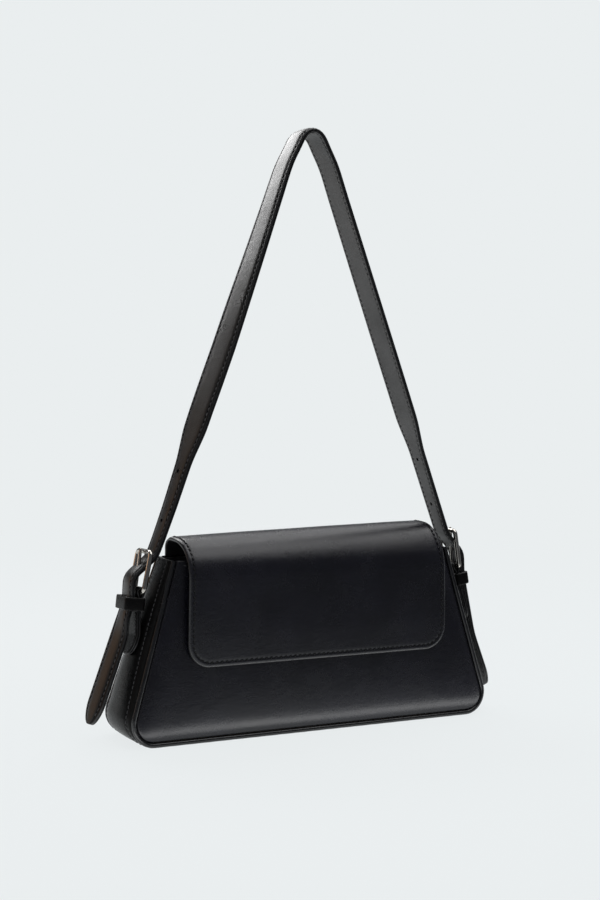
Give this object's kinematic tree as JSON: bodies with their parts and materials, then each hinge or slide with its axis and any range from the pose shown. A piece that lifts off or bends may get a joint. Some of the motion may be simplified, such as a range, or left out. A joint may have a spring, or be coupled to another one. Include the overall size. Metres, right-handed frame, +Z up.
{
  "type": "shoulder bag",
  "caption": "Small tapered leather shoulder bag with a curved front flap and an arched strap that buckles onto a tab on each side.",
  "frame": {"origin": "Centre of the flat base, where it rests on a table.", "axes": "+X to the right seen from the front, -Y to the front where the flap hangs, +Z up through the strap."},
  "size_m": [0.2938, 0.0516, 0.3805],
  "materials": {
    "leather": "smooth black leather, satin sheen",
    "strap_leather": "smooth black leather, satin sheen",
    "strap_lining": "smooth black lining leather, matt",
    "piping": "black edge paint over a corded seam",
    "cloth": "black twill lining",
    "flap_lining": "thin black lining leather, matt",
    "board": "grey-brown pressed fibre board",
    "metal": "polished silver-coloured plating"
  },
  "bodies": {
    "bag": {"front_panel": "leather", "back_panel": "leather", "gusset": "leather", "front_piping": "piping", "back_piping": "piping", "lining_front": "cloth", "lining_back": "cloth", "lining_gusset": "cloth", "base_board": "board", "slip_pocket": "cloth", "flap_root": "leather", "snap_socket": "metal", "snap_washer": "metal", "chape_left": "leather", "chape_right": "leather"},
    "flap": {"flap_outer": "leather", "flap_lining": "flap_lining", "snap_stud": "metal"},
    "strap": {"strap_outer": "strap_leather", "strap_lining": "strap_lining", "buckle_frame_left": "metal", "buckle_frame_right": "metal", "prong_left": "metal", "prong_right": "metal"},
    "keeper_left": {"keeper_left": "leather"},
    "keeper_right": {"keeper_right": "leather"}
  },
  "joints": [
    {"name": "flap_open", "type": "hinge", "parent": "bag", "child": "flap", "pos_m": [0, 0.0145, 0.1135], "axis": [-1, 0, 0], "range_deg": [0, 55]},
    {"name": "strap_swing", "type": "hinge", "parent": "bag", "child": "strap", "pos_m": [0, 0, 0.0585], "axis": [-1, 0, 0], "range_deg": [-85, 85], "deforming": ["chape_left", "chape_right"]},
    {"name": "keeper_left_slide", "type": "slide", "parent": "strap", "child": "keeper_left", "axis": [-0.1112, -0.0503, -0.9925], "range_m": [0, 0.003]},
    {"name": "keeper_right_slide", "type": "slide", "parent": "strap", "child": "keeper_right", "axis": [0.181, -0.0498, -0.9822], "range_m": [0, 0.003]}
  ]
}
